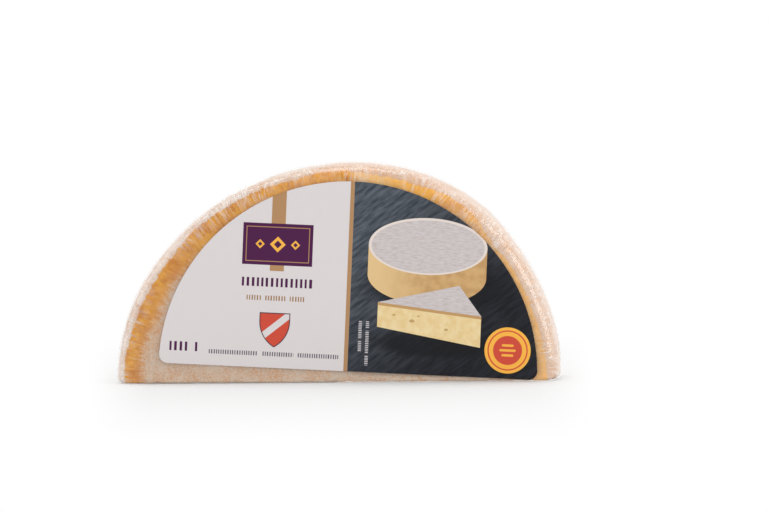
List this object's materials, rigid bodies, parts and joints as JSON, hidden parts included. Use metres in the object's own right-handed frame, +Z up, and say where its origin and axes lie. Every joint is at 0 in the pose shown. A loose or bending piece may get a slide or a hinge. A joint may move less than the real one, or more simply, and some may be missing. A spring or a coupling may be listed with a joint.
{
  "type": "reblochon half wheel",
  "caption": "Half wheel of soft washed-rind cheese in clear wrap, standing on its cut, with a half-round paper label on its face.",
  "frame": {"origin": "middle of the cut that the half wheel stands on, in the plane of the cut", "axes": "+Z up, +X along the cut, -Y out of the round face that carries the label"},
  "size_m": [0.137, 0.0332, 0.0671],
  "materials": {
    "washed_rind": "satin",
    "clear_wrap": "gloss",
    "printed_label": "satin"
  },
  "bodies": {
    "root": {"half_wheel": "washed_rind", "label": "printed_label"}
  },
  "joints": []
}
